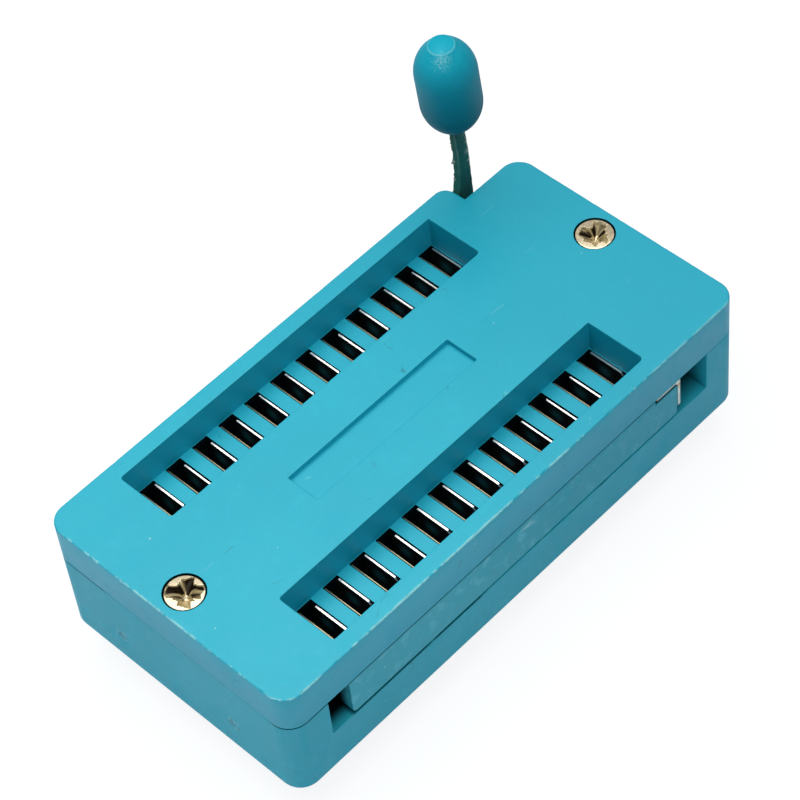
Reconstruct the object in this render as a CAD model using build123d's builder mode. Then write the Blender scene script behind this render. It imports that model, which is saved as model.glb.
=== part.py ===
from build123d import *
from math import atan2, cos, degrees, radians, sin, sqrt
import os

os.makedirs("parts", exist_ok=True)

# Zero-insertion-force test socket for wide dual-in-line chips. All lengths are in millimetres.
# Origin: centre of the contact field, on the plane that the feet stand on.
# +X points to the right-hand row, +Y to the end that carries the lever, +Z up.

# Contact field
pitch = 2.54
row_spacing = 15.24
contacts_per_row = 12

# Body: base and cover
body_width = 22.9
body_length = 45.0
body_shift = 0.9  # how far the body's middle lies ahead of the contact field's middle
corner_radius = 1.6
base_height = 7.45
base_chamfer = 0.25
cover_thickness = 3.4
cover_edge_radius = 0.15
foot_height = 0.4
foot_radius = 1.1
foot_inset = 2.2  # from the body's sides and ends to a foot's centre
end_wall = 3.5  # base wall left standing at each end
window_height = 3.68  # side windows, measured down from the parting plane

# Cover features
trough_width = 5.02
trough_depth = 2.8
trough_corner_radius = 0.3
trough_near_margin = 1.12  # from the first slot to the trough's end
trough_far_margin = 0.07
slot_width = 1.4
panel_width = 2.8
panel_length = 15.75
panel_depth = 0.3
panel_shift = -0.53
step_width = 2.04  # corner cut away for the lever
step_length = 5.6
step_outer_radius = 1.0
step_end_radius = 1.5

# Screws
screw_inset = 2.15  # from the body's end to the screw's axis
screw_head_radius = 1.38
screw_head_height = 1.0
screw_head_recess = 0.05  # the head lies this far below the cover's face
screw_head_edge = 0.15
screw_shank_radius = 0.85
screw_grip = 4.0  # shank length in the base
screw_tip = 0.5
head_clearance = 0.13
shank_clearance = 0.15
thread_clearance = 0.02
drive_length = 2.0
drive_width = 0.52
drive_depth = 0.7
drive_taper = 8.0
screw_near_turn = 45.0  # how far each drive is turned
screw_far_turn = 20.0

# Contacts
leaf_thickness = 0.2
far_leaf_width = 3.0
far_leaf_shift = 0.7  # from the slot's middle towards the lever's side
far_leaf_chamfer = 0.2
far_leaf_drop = 0.05  # below the trough's floor
far_leaf_lean = 0.4  # how far the sprung leaf's tip lies beyond its root
near_leaf_drop = 0.2
near_leaf_gap = 0.02
far_leaf_gap = 0.05
leaf_side_clearance = 0.07
stem_width = 2.0
stem_height = 1.2
tail_width = 0.5
tail_thickness = 0.25
tail_length = 3.2  # below the feet
tail_clearance = 0.05
pocket_floor = 1.0  # thickness of base left under a contact
pocket_clearance = 0.05

# Slider
travel = 0.7
slider_clearance = 0.09  # above and below
slider_side_inset = 0.05
slider_near_gap = 2.0  # from the window's near end to the slider
slider_end_radius = 0.4
comb_clearance = 0.05
window_clearance = 0.1

# Wear plate on the slider
plate_thickness = 0.3
plate_leg_height = 2.7
plate_top_length = 2.5
plate_top_gap = 0.15  # below the top leg
plate_side_inset = 0.02
stake_radius = 0.6
stake_clearance = 0.05
stake_spacing = 12.0

# Lever and cam
shaft_radius = 1.0
shaft_setback = 1.05  # from the window's far end to the shaft's axis
shaft_end = 8.9
shaft_clearance = 0.03
cam_reach = 1.6  # from the shaft's axis to the cam's face, with the socket open
cam_gap = 0.1
cam_width = 4.4
cam_centre = 5.6
cam_pocket_clearance = 0.15
cam_side_clearance = 0.2
block_end = 9.4
block_gap = 0.3  # from the wear plate to the bearing block
bearing_cap_width = 0.8
bearing_cap_centre = 8.45
lever_thickness = 0.7
lever_hub_radius = 1.45
strip_foot_near = 0.95  # from the shaft's axis to the strip's near edge, up to its shoulder
strip_foot_far = 0.62
strip_shoulder = 4.8  # above the shaft's axis
strip_waist = 6.2
strip_waist_near = 0.64
strip_neck = 8.65
strip_neck_width = 1.0
strip_neck_shift = -0.08
lever_insert = 3.2  # strip inside the knob
rivet_radius = 0.6
rivet_head_radius = 0.9
rivet_head_height = 0.3
rivet_head_taper = 20.0
rivet_clearance = 0.02
knob_lean = 4.6  # degrees back over the cover, from the strip's neck up
knob_rise = 2.9  # from the strip's neck to the knob's bottom
knob_radius = 2.27
knob_length = 8.72
knob_end_height = 2.9  # of each rounded end
knob_shoulder_radius = 3.2
knob_gate_radius = 1.0  # moulding mark on the knob's crown
knob_gate_height = 0.05
knob_gate_depth = 0.5
knob_slot_clearance = 0.02

# Derived levels and places
base_bottom = foot_height
parting = base_bottom + base_height
top = parting + cover_thickness
deck = parting - window_height
trough_floor = top - trough_depth
body_near = body_shift - body_length / 2
body_far = body_shift + body_length / 2
body_side = body_width / 2
window_near = body_near + end_wall
window_far = body_far - end_wall
window_middle = (window_near + window_far) / 2
field_half = (contacts_per_row - 1) * pitch / 2
trough_near = -field_half - slot_width / 2 - trough_near_margin
trough_far = field_half + slot_width / 2 + trough_far_margin
trough_middle = (trough_near + trough_far) / 2
screw_near_y = body_near + screw_inset
screw_far_y = body_far - screw_inset
step_wall = -body_side + step_width
step_start = body_far - step_length
shaft_y = window_far - shaft_setback
shaft_z = (deck + parting) / 2
cam_radius = cam_reach + travel / 2
cam_throw = travel / sqrt(2)
plate_face = shaft_y - cam_reach - cam_gap
slider_near = window_near + slider_near_gap
slider_far = plate_face - plate_thickness
slider_middle = (slider_near + slider_far) / 2
slider_bottom = deck + slider_clearance
slider_top = parting - slider_clearance
slider_side = body_side - slider_side_inset
block_near = plate_face + block_gap
near_leaf_width = trough_width - 2 * leaf_side_clearance
near_leaf_back = -slot_width / 2 + near_leaf_gap
far_leaf_back = slot_width / 2 - far_leaf_gap
pocket_bottom = base_bottom + pocket_floor
pocket_width = slot_width + 2 * pocket_clearance
pocket_length = near_leaf_width + 2 * pocket_clearance
comb_front = pitch + near_leaf_back - comb_clearance
comb_back = far_leaf_back + comb_clearance + travel
comb_window = pitch - (comb_front - comb_back)
comb_window_shift = comb_back - comb_window / 2
comb_window_length = near_leaf_width + 2 * window_clearance
plate_top = slider_top - slider_clearance / 2
lever_x = (-body_side + step_wall) / 2
# each end of the knob is a shoulder arc and a cap arc that meet tangent
knob_shoulder_inset = knob_shoulder_radius - knob_radius
knob_cap_radius = (knob_shoulder_radius**2 - knob_shoulder_inset**2 - knob_end_height**2) / (
    2 * (knob_shoulder_radius - knob_end_height)
)
knob_shoulder_turn = degrees(atan2(knob_end_height - knob_cap_radius, knob_shoulder_inset))
contact_places = GridLocations(row_spacing, pitch, 2, contacts_per_row)
body_places = [(0, screw_near_y), (0, screw_far_y)]
foot_x = body_side - foot_inset
foot_places = [
    (side * foot_x, y)
    for side in (-1, 1)
    for y in (body_near + foot_inset, body_far - foot_inset)
]


def body_plane(height):
    """Level plane at a height, centred on the body."""
    return Plane(origin=(0, body_shift, height))


def shaft_plane(x):
    """Upright plane across the shaft's axis; its own x runs along +Y and its own y along +Z."""
    return Plane(origin=(x, shaft_y, shaft_z), x_dir=(0, 1, 0), z_dir=(1, 0, 0))


def neck_plane():
    """The same plane at the strip's neck, leaning back so that its own y runs up the knob's axis."""
    lean = radians(knob_lean)
    neck = (lever_x, shaft_y + strip_neck_shift, shaft_z + strip_neck)
    return Plane(origin=neck, x_dir=(0, cos(lean), sin(lean)), z_dir=(1, 0, 0))


def knob_plane(rise):
    """Plane square to the knob's axis, at a rise above the strip's neck."""
    neck = neck_plane()
    return Plane(origin=neck.from_local_coords((0, rise, 0)), z_dir=neck.y_dir)


def strip_end(side):
    """Corner of the strip's end inside the knob, in the shaft plane's own places."""
    corner = (side * strip_neck_width / 2, knob_rise + lever_insert, 0)
    place = shaft_plane(lever_x).to_local_coords(neck_plane().from_local_coords(corner))
    return place.X, place.Y


def save(part, name):
    part.label = name
    export_step(part, f"parts/{name}.step")


# Base housing
with BuildPart() as base_housing:
    with BuildSketch(body_plane(base_bottom)):
        RectangleRounded(body_width, body_length, corner_radius)
    extrude(amount=base_height)
    chamfer(base_housing.faces().sort_by(Axis.Z)[0].edges(), length=base_chamfer)
    with BuildSketch(Plane.XY) as feet:
        with Locations(*foot_places):
            Circle(foot_radius)
    extrude(amount=base_bottom)
    # slider bay, open through both long sides
    with BuildSketch(Plane.XY.offset(deck)):
        with Locations((0, window_middle)):
            Rectangle(body_width, window_far - window_near)
    extrude(amount=window_height, mode=Mode.SUBTRACT)
    # bearing block for the camshaft
    with BuildSketch(Plane.XY.offset(deck)):
        with Locations((step_wall, block_near)):
            Rectangle(block_end - step_wall, window_far - block_near, align=(Align.MIN, Align.MIN))
    extrude(amount=window_height)
    # corner notch that the lever swings down into
    with BuildSketch(Plane.XY.offset(deck)):
        with Locations((-body_side, window_far)):
            Rectangle(step_width, end_wall, align=(Align.MIN, Align.MIN))
    extrude(amount=window_height, mode=Mode.SUBTRACT)
    # shaft channel, open upwards for assembly
    channel_radius = shaft_radius + shaft_clearance
    with BuildSketch(shaft_plane(step_wall)):
        Circle(channel_radius)
        Rectangle(2 * channel_radius, parting - shaft_z, align=(Align.CENTER, Align.MIN))
    extrude(amount=shaft_end + shaft_clearance - step_wall, mode=Mode.SUBTRACT)
    # cam pockets
    pocket_reach = cam_radius + cam_throw + cam_pocket_clearance
    pocket_side = cam_width + 2 * cam_side_clearance
    with BuildSketch(Plane.XY.offset(shaft_z - pocket_reach)):
        with Locations((-cam_centre, shaft_y), (cam_centre, shaft_y)):
            Rectangle(pocket_side, 2 * pocket_reach)
    extrude(until=Until.LAST, mode=Mode.SUBTRACT)
    # contact pockets and tail holes
    with BuildSketch(Plane.XY.offset(pocket_bottom)):
        with contact_places:
            Rectangle(pocket_length, pocket_width)
    extrude(amount=deck - pocket_bottom, mode=Mode.SUBTRACT)
    with BuildSketch(Plane.XY.offset(base_bottom)):
        with contact_places:
            Rectangle(tail_width + 2 * tail_clearance, tail_thickness + 2 * tail_clearance)
    extrude(amount=pocket_floor, mode=Mode.SUBTRACT)
    # pilot holes for the cover screws
    with Locations(Plane.XY.offset(parting)):
        with Locations(*body_places):
            Hole(screw_shank_radius + thread_clearance, depth=screw_grip)
save(base_housing.part, "base_housing")

# Top cover
with BuildPart() as top_cover:
    with BuildSketch(body_plane(parting)) as outline:
        RectangleRounded(body_width, body_length, corner_radius)
        with Locations((-body_side, body_length / 2)):
            Rectangle(step_width, step_length, align=(Align.MIN, Align.MAX), mode=Mode.SUBTRACT)
        step_corner = outline.vertices().sort_by_distance((-body_side, step_start))[0]
        fillet(step_corner, radius=step_outer_radius)
        end_corner = outline.vertices().sort_by_distance((step_wall, body_far))[0]
        fillet(end_corner, radius=step_end_radius)
    extrude(amount=cover_thickness)
    fillet(top_cover.faces().sort_by(Axis.Z)[-1].edges(), radius=cover_edge_radius)
    # troughs over the two contact rows
    with BuildSketch(Plane.XY.offset(trough_floor)) as troughs:
        with Locations((-row_spacing / 2, trough_middle), (row_spacing / 2, trough_middle)):
            RectangleRounded(trough_width, trough_far - trough_near, trough_corner_radius)
    extrude(amount=trough_depth, mode=Mode.SUBTRACT)
    # contact slots through the trough floors
    with BuildSketch(Plane.XY.offset(parting)):
        with contact_places:
            Rectangle(trough_width, slot_width)
    extrude(amount=cover_thickness - trough_depth, mode=Mode.SUBTRACT)
    # shallow panel between the troughs
    with BuildSketch(Plane.XY.offset(top)):
        with Locations((0, panel_shift)):
            Rectangle(panel_width, panel_length)
    extrude(amount=-panel_depth, mode=Mode.SUBTRACT)
    # screw seats
    with Locations(Plane.XY.offset(top)):
        with Locations(*body_places):
            CounterBoreHole(
                radius=screw_shank_radius + shank_clearance,
                counter_bore_radius=screw_head_radius + head_clearance,
                counter_bore_depth=screw_head_height + screw_head_recess,
                depth=cover_thickness,
            )
    # caps that hold the camshaft down in its channel
    for side in (-1, 1):
        with BuildSketch(shaft_plane(side * bearing_cap_centre)):
            Rectangle(2 * shaft_radius, parting - shaft_z, align=(Align.CENTER, Align.MIN))
            Circle(shaft_radius + shaft_clearance, mode=Mode.SUBTRACT)
        extrude(amount=bearing_cap_width / 2, both=True)
save(top_cover.part, "top_cover")

# Cover screws
screw_turns = (("screw_near", screw_near_y, screw_near_turn), ("screw_far", screw_far_y, screw_far_turn))
for name, y, turn in screw_turns:
    head_top = top - screw_head_recess
    shank_length = cover_thickness - screw_head_height - screw_head_recess + screw_grip
    with BuildPart() as screw:
        with BuildSketch(Plane(origin=(0, y, head_top - screw_head_height))):
            Circle(screw_head_radius)
        extrude(amount=screw_head_height)
        fillet(screw.edges().sort_by(Axis.Z)[-1], radius=screw_head_edge)
        with BuildSketch(Plane(origin=(0, y, head_top - screw_head_height))):
            Circle(screw_shank_radius)
        extrude(amount=-shank_length)
        chamfer(screw.edges().sort_by(Axis.Z)[0], length=screw_tip)
        with BuildSketch(Plane(origin=(0, y, head_top)).rotated((0, 0, turn))):
            Rectangle(drive_length, drive_width)
            Rectangle(drive_width, drive_length)
        extrude(amount=-drive_depth, taper=drive_taper, mode=Mode.SUBTRACT)
    save(screw.part, name)

# Contacts: one stamped fork per slot, with a tail pin below
leaf_foot = pocket_bottom
near_leaf_top = trough_floor - near_leaf_drop
far_leaf_top = trough_floor - far_leaf_drop
far_root_back = far_leaf_back - far_leaf_lean
for side, row in ((-1, "left"), (1, "right")):
    for index in range(contacts_per_row):
        x = side * row_spacing / 2
        y = (index - (contacts_per_row - 1) / 2) * pitch
        across = Plane(origin=(x, y, 0), x_dir=(0, 1, 0), z_dir=(1, 0, 0))
        with BuildPart() as contact:
            with BuildSketch(across):
                with Locations((near_leaf_back, leaf_foot)):
                    Rectangle(leaf_thickness, near_leaf_top - leaf_foot, align=(Align.MIN, Align.MIN))
            extrude(amount=near_leaf_width / 2, both=True)
            with BuildSketch(across.offset(-far_leaf_shift)):
                with BuildLine():
                    Polyline(
                        (far_root_back - leaf_thickness, leaf_foot),
                        (far_root_back, leaf_foot),
                        (far_leaf_back, far_leaf_top),
                        (far_leaf_back - leaf_thickness, far_leaf_top),
                        close=True,
                    )
                make_face()
            extrude(amount=far_leaf_width / 2, both=True)
            tip_edges = contact.edges().filter_by(Axis.Y).group_by(Axis.Z)[-1].sort_by(Axis.X)
            chamfer(tip_edges[-1], length=far_leaf_chamfer)
            # both leaves narrow to a stem, joined by a web at the foot
            with BuildSketch(Plane(origin=(x, y, leaf_foot))):
                Rectangle(near_leaf_width + stem_width, pitch)
                Rectangle(stem_width, pitch, mode=Mode.SUBTRACT)
            extrude(amount=stem_height, mode=Mode.SUBTRACT)
            with BuildSketch(Plane(origin=(x, y, leaf_foot))):
                with Locations((0, near_leaf_back)):
                    Rectangle(stem_width, far_root_back - near_leaf_back, align=(Align.CENTER, Align.MIN))
            extrude(amount=leaf_thickness)
            with BuildSketch(Plane(origin=(x, y, leaf_foot))):
                Rectangle(tail_width, tail_thickness)
            extrude(amount=-(leaf_foot + tail_length))
        save(contact.part, f"contact_{row}_{index + 1:02d}")

# Cam slider: a comb with one bar behind each contact
with BuildPart() as cam_slider:
    with BuildSketch(Plane.XY.offset(slider_bottom)):
        with Locations((0, slider_middle)):
            Rectangle(2 * slider_side, slider_far - slider_near)
    extrude(amount=slider_top - slider_bottom)
    bottom_edges = cam_slider.edges().filter_by(Axis.X).group_by(Axis.Z)[0]
    fillet(bottom_edges, radius=slider_end_radius)
    with BuildSketch(Plane(origin=(0, comb_window_shift, slider_bottom))):
        with contact_places:
            Rectangle(comb_window_length, comb_window)
    extrude(amount=slider_top - slider_bottom, mode=Mode.SUBTRACT)
    # recess for the wear plate's top leg, with the stakes left standing
    recess_floor = plate_top - plate_thickness - plate_top_gap
    recess_near = plate_face - plate_top_length - plate_top_gap
    with BuildSketch(Plane.XY.offset(recess_floor)):
        with Locations((0, slider_far)):
            Rectangle(2 * slider_side, slider_far - recess_near, align=(Align.CENTER, Align.MAX))
        stake_y = plate_face - plate_top_length / 2
        with Locations((-stake_spacing / 2, stake_y), (stake_spacing / 2, stake_y)):
            Circle(stake_radius, mode=Mode.SUBTRACT)
    extrude(amount=slider_top - recess_floor, mode=Mode.SUBTRACT)
save(cam_slider.part, "cam_slider")

# Steel wear plate folded over the slider's far end
with BuildPart() as wear_plate:
    with BuildSketch(Plane.YZ) as plate_section:
        with Locations((plate_face, plate_top)):
            Rectangle(plate_thickness, plate_leg_height, align=(Align.MAX, Align.MAX))
            Rectangle(plate_top_length, plate_thickness, align=(Align.MAX, Align.MAX))
    extrude(amount=slider_side - plate_side_inset, both=True)
    with Locations((-stake_spacing / 2, stake_y, plate_top), (stake_spacing / 2, stake_y, plate_top)):
        Hole(stake_radius + stake_clearance, depth=plate_thickness)
    # the top leg is cut back so that it never reaches the last contacts
    with BuildSketch(Plane.XY.offset(plate_top)):
        last_window_end = field_half + comb_back + window_clearance
        with Locations((-row_spacing / 2, last_window_end), (row_spacing / 2, last_window_end)):
            Rectangle(comb_window_length + 2 * window_clearance, pitch, align=(Align.CENTER, Align.MAX))
    extrude(amount=-plate_thickness, mode=Mode.SUBTRACT)
save(wear_plate.part, "wear_plate")

# Camshaft with two eccentric cams and a riveted end for the lever
lever_inner = lever_x + lever_thickness / 2
lever_outer = lever_x - lever_thickness / 2
with BuildPart() as cam_shaft:
    with BuildSketch(shaft_plane(lever_inner)):
        Circle(shaft_radius)
    extrude(amount=shaft_end - lever_inner)
    with BuildSketch(shaft_plane(lever_outer)):
        Circle(rivet_radius)
    extrude(amount=lever_thickness)
    with BuildSketch(shaft_plane(lever_outer)):
        Circle(rivet_head_radius)
    extrude(amount=-rivet_head_height, taper=rivet_head_taper)
    cam_offset = cam_throw / sqrt(2)
    for middle in (-cam_centre, cam_centre):
        with BuildSketch(shaft_plane(middle)):
            with Locations((cam_offset, -cam_offset)):
                Circle(cam_radius)
        extrude(amount=cam_width / 2, both=True)
save(cam_shaft.part, "cam_shaft")

# Lever strip: wide beside its eye, straight up to the neck, then leaning back into the knob
with BuildPart() as lever_arm:
    with BuildSketch(shaft_plane(lever_x)):
        Circle(lever_hub_radius)
        with BuildLine():
            Polyline(
                (-strip_foot_near, 0),
                (strip_foot_far, 0),
                (strip_neck_shift + strip_neck_width / 2, strip_neck),
                strip_end(1),
                strip_end(-1),
                (strip_neck_shift - strip_neck_width / 2, strip_neck),
                (-strip_waist_near, strip_waist),
                (-strip_foot_near, strip_shoulder),
                close=True,
            )
        make_face()
        Circle(rivet_radius + rivet_clearance, mode=Mode.SUBTRACT)
    extrude(amount=lever_thickness / 2, both=True)
save(lever_arm.part, "lever_arm")

# Knob moulded over the strip's end
with BuildPart() as lever_knob:
    with BuildSketch(neck_plane()):
        with BuildLine():
            side_low = (knob_radius, knob_rise + knob_end_height)
            side_high = (knob_radius, knob_rise + knob_length - knob_end_height)
            Line(side_low, side_high)
            poles = []
            for start, turn in ((side_low, -1), (side_high, 1)):
                shoulder = JernArc(start, (0, turn), knob_shoulder_radius, turn * knob_shoulder_turn)
                cap = JernArc(shoulder @ 1, shoulder % 1, knob_cap_radius, turn * (90 - knob_shoulder_turn))
                poles.append(cap @ 1)
            Line(*poles)
        make_face()
    revolve(axis=Axis(neck_plane().origin, neck_plane().y_dir))
    with BuildSketch(knob_plane(knob_rise + knob_length + knob_gate_height)):
        Circle(knob_gate_radius)
    extrude(amount=-knob_gate_depth)
    with BuildSketch(neck_plane()):
        with Locations((0, knob_rise)):
            Rectangle(strip_neck_width + 2 * knob_slot_clearance, 2 * lever_insert + 2 * knob_slot_clearance)
    extrude(amount=lever_thickness / 2 + knob_slot_clearance, both=True, mode=Mode.SUBTRACT)
save(lever_knob.part, "lever_knob")
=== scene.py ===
from math import cos, pi, radians, sin
from types import SimpleNamespace

import bmesh
import bpy
import numpy as np
from mathutils import Matrix, Vector
from mathutils.geometry import delaunay_2d_cdt


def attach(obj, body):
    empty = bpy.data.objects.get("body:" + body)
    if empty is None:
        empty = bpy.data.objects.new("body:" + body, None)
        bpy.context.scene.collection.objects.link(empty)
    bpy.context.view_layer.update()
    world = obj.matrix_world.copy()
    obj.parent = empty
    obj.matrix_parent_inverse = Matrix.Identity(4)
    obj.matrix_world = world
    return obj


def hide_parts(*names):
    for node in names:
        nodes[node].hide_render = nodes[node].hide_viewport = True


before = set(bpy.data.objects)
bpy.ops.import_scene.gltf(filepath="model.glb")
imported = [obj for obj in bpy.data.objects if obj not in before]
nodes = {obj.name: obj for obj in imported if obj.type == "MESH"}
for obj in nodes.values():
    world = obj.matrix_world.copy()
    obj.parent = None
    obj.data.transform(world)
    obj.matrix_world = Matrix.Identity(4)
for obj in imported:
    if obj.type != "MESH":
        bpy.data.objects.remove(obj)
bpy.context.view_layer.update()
mm = 0.001
print("stage: frame loaded")

# Shapes are worked out as arrays in millimetres. A part is (vertices, faces, wear per vertex, flat or not).


# Closed path through corners, each turned by an arc of its own radius: the arc's centre lies on the
# corner's bisector at radius / sin(half the corner's angle), and straight runs are cut into equal steps.
# Returns the points and the normals to the right of the path, outwards on an anticlockwise one.
def cornerPath(corners, radii, step=0.4, arcSteps=8):
    corners = np.asarray(corners, float)
    points, normals = [], []
    count = len(corners)
    tangentIn = corners - np.roll(corners, 1, axis=0)
    tangentIn /= np.linalg.norm(tangentIn, axis=1)[:, None]
    tangentOut = np.roll(tangentIn, -1, axis=0)
    turn = np.arctan2(
        tangentIn[:, 0] * tangentOut[:, 1] - tangentIn[:, 1] * tangentOut[:, 0],
        (tangentIn * tangentOut).sum(1),
    )
    reach = np.asarray(radii) * np.abs(np.tan(turn / 2))
    for k in range(count):
        sideIn = np.array([tangentIn[k, 1], -tangentIn[k, 0]])
        centre = corners[k] - tangentIn[k] * reach[k] - sideIn * radii[k] * np.sign(turn[k])
        start = np.arctan2(sideIn[1], sideIn[0])
        angle = start + np.linspace(0, turn[k], arcSteps + 1)
        ray = np.stack([np.cos(angle), np.sin(angle)], axis=1)
        arc = centre + ray * radii[k] * np.sign(turn[k])
        following = (k + 1) % count
        runStart = arc[-1]
        runEnd = corners[following] - tangentIn[following] * reach[following]
        cuts = max(1, int(np.ceil(np.linalg.norm(runEnd - runStart) / step)))
        share = (np.arange(1, cuts) / cuts)[:, None]
        run = runStart + (runEnd - runStart) * share
        points += [arc, run]
        normals += [ray, np.repeat(ray[-1:], len(run), axis=0)]
    return np.concatenate(points), np.concatenate(normals)


# Anticlockwise rounded rectangle; radius is one value, or four from the near right corner on.
def boxPath(centre, width, length, radius, step=0.4, arcSteps=8):
    x, y, w, h = centre[0], centre[1], width / 2, length / 2
    corners = [(x + w, y - h), (x + w, y + h), (x - w, y + h), (x - w, y - h)]
    return cornerPath(corners, np.broadcast_to(radius, 4), step, arcSteps)


# Anticlockwise circle and its outward normals.
def circlePath(centre, radius, steps=48):
    angle = np.linspace(0, 2 * pi, steps, endpoint=False)
    ray = np.stack([np.cos(angle), np.sin(angle)], axis=1)
    return np.asarray(centre) + ray * radius, ray


# Closed path of straight and curved runs cut to an even step along its length; a normal is the tangent
# through both neighbours, turned to the right.
def evenPath(points, step):
    points = np.asarray(points, float)
    closed = np.concatenate([points, points[:1]])
    along = np.concatenate([[0], np.cumsum(np.linalg.norm(np.diff(closed, axis=0), axis=1))])
    at = np.linspace(0, along[-1], int(along[-1] / step), endpoint=False)
    path = np.stack([np.interp(at, along, closed[:, 0]), np.interp(at, along, closed[:, 1])], axis=1)
    tangent = np.roll(path, -1, axis=0) - np.roll(path, 1, axis=0)
    tangent /= np.linalg.norm(tangent, axis=1)[:, None]
    return path, np.stack([tangent[:, 1], -tangent[:, 0]], axis=1)


# Distance walked along a closed path, from its first point.
def pathLength(path):
    return np.cumsum(np.linalg.norm(path - np.roll(path, 1, axis=0), axis=1))


# Quarter circle from a wall up to a level face, as (offset, height) pairs:
# offset = side * radius * (1 - cos a), height = level - radius * (1 - sin a).
def roundedRim(radius, level, side=-1, steps=4):
    a = np.linspace(0, pi / 2, steps + 1)
    return np.stack([side * radius * (1 - np.cos(a)), level - radius * (1 - np.sin(a))], axis=1)


# From a level face, over a rounded rim and down a wall, with a narrow flat ring first.
def holeProfile(level, rim, bottom, ring=0.08):
    return np.concatenate([[[rim + ring, level]], roundedRim(rim, level, side=1)[::-1], [[0.0, bottom]]])


# Profile carried along a closed path: point = path + outward * offset, at the profile's height.
# shift adds a rows x path array of (offset, height) changes, for chips and burrs; wear is rows x path.
def sweptWall(path, outward, profile, wear=0.0, shift=0.0):
    rows, cols = len(profile), len(path)
    moves = np.broadcast_to(profile[:, None] + shift, (rows, cols, 2))
    verts = np.dstack([path + outward * moves[..., :1], moves[..., 1]]).reshape(-1, 3)
    i = np.arange((rows - 1) * cols)
    following = i - i % cols + (i + 1) % cols
    quads = np.stack([i, following, following + cols, i + cols], axis=1)
    return verts, quads, np.broadcast_to(wear, (rows, cols)).ravel(), False


# Level face between closed loops: constrained triangles, kept where a line from their middle crosses
# the loops an odd number of times.
def flatFace(level, loops, up=True):
    counts = [len(loop) for loop in loops]
    points = np.concatenate(loops)
    first = np.repeat(np.cumsum([0] + counts[:-1]), counts)
    index = np.arange(len(points))
    size = np.repeat(counts, counts)
    edges = np.stack([index, first + (index - first + 1) % size], axis=1)
    made = delaunay_2d_cdt([Vector(p) for p in points], edges.tolist(), [], 0, 1e-7)
    flat = np.array([tuple(p) for p in made[0]])
    tris = np.array(made[2])
    middle = flat[tris].mean(axis=1)
    a, b = points[edges[:, 0]], points[edges[:, 1]]
    spans = (a[None, :, 1] > middle[:, None, 1]) != (b[None, :, 1] > middle[:, None, 1])
    rise = np.where(b[:, 1] == a[:, 1], 1.0, b[:, 1] - a[:, 1])
    crossing = a[None, :, 0] + (middle[:, None, 1] - a[None, :, 1]) / rise * (b - a)[None, :, 0]
    inside = (spans & (crossing > middle[:, None, 0])).sum(axis=1) % 2 == 1
    tris = tris[inside]
    p0, p1, p2 = flat[tris[:, 0]], flat[tris[:, 1]], flat[tris[:, 2]]
    area = (p1 - p0)[:, 0] * (p2 - p0)[:, 1] - (p1 - p0)[:, 1] * (p2 - p0)[:, 0]
    flip = (area < 0) == up
    tris[flip] = tris[flip][:, ::-1]
    verts = np.column_stack([flat, np.full(len(flat), level)])
    return verts, tris, np.zeros(len(verts)), True


# Points and quads of a rows x columns x 3 array whose rows are closed rings.
def ringSheet(points):
    rows, cols = points.shape[:2]
    r, c = np.arange(rows - 1)[:, None] * cols, np.arange(cols)[None]
    following = (c + 1) % cols
    quads = np.stack([r + c, r + following, r + cols + following, r + cols + c], axis=-1)
    return points.reshape(-1, 3), quads.reshape(-1, 4)


# The same part with its points carried by a 4 x 4 matrix.
def turned(part, matrix):
    m = np.array(matrix)
    return part[0] @ m[:3, :3].T + m[:3, 3], part[1], part[2], part[3]


# Straight wall between two levels with both ends closed.
def prismParts(outline, low, high):
    wall = sweptWall(outline, np.zeros_like(outline), np.array([[0.0, low], [0.0, high]]))
    return [wall, flatFace(low, [outline], up=False), flatFace(high, [outline])]


# Sum of sines with seeded phases: each octave doubles the rate and halves the height.
def smoothNoise(x, seed, octaves=4, base=1.0):
    draw = np.random.default_rng(seed)
    total = np.zeros_like(np.asarray(x, float))
    for k in range(octaves):
        rate = base * 2 ** k * draw.uniform(0.8, 1.25)
        total += np.sin(2 * pi * (x * rate + draw.uniform())) / 2 ** k
    return total / 2


# 0 below low, 1 above high, smooth between.
def smoothStep(x, low, high):
    t = np.clip((x - low) / (high - low), 0, 1)
    return t * t * (3 - 2 * t)


# Shading normals: a flat face keeps its own at every corner, and a soft corner beside it takes it over
# where it turns less than 45 degrees away. Each of the six main directions is done in turn.
def keepFlatNormals(mesh, flat):
    corners, faces = len(mesh.loops), len(mesh.polygons)
    vertexOf, totals = np.zeros(corners, int), np.zeros(faces, int)
    mesh.loops.foreach_get("vertex_index", vertexOf)
    mesh.polygons.foreach_get("loop_total", totals)
    faceOf = np.repeat(np.arange(faces), totals)
    soft, own = np.zeros(corners * 3), np.zeros(faces * 3)
    mesh.corner_normals.foreach_get("vector", soft)
    mesh.polygon_normals.foreach_get("vector", own)
    soft, own = soft.reshape(-1, 3), own.reshape(-1, 3)[faceOf]
    isFlat = flat[faceOf]
    result = soft.copy()
    for axis in range(3):
        for sign in (-1, 1):
            facing = isFlat & (own[:, axis] * sign > 0.9)
            total = np.zeros((len(mesh.vertices), 3))
            np.add.at(total, vertexOf[facing], own[facing])
            size = np.linalg.norm(total, axis=1)
            taken = ~isFlat & (size[vertexOf] > 0) & (soft[:, axis] * sign > 0.7)
            result[taken] = (total / np.maximum(size, 1e-9)[:, None])[vertexOf[taken]]
    result[isFlat] = own[isFlat]
    mesh.normals_split_custom_set(result.tolist())


# Smooth faces, with the edges that turn by more than sharp degrees marked.
def markSharp(bm, sharp):
    for face in bm.faces:
        face.smooth = True
    for edge in bm.edges:
        edge.smooth = edge.calc_face_angle(0.0) < radians(sharp)


def addObject(name, data):
    made = bpy.data.objects.new(name, data)
    bpy.context.scene.collection.objects.link(made)
    return made


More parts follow.
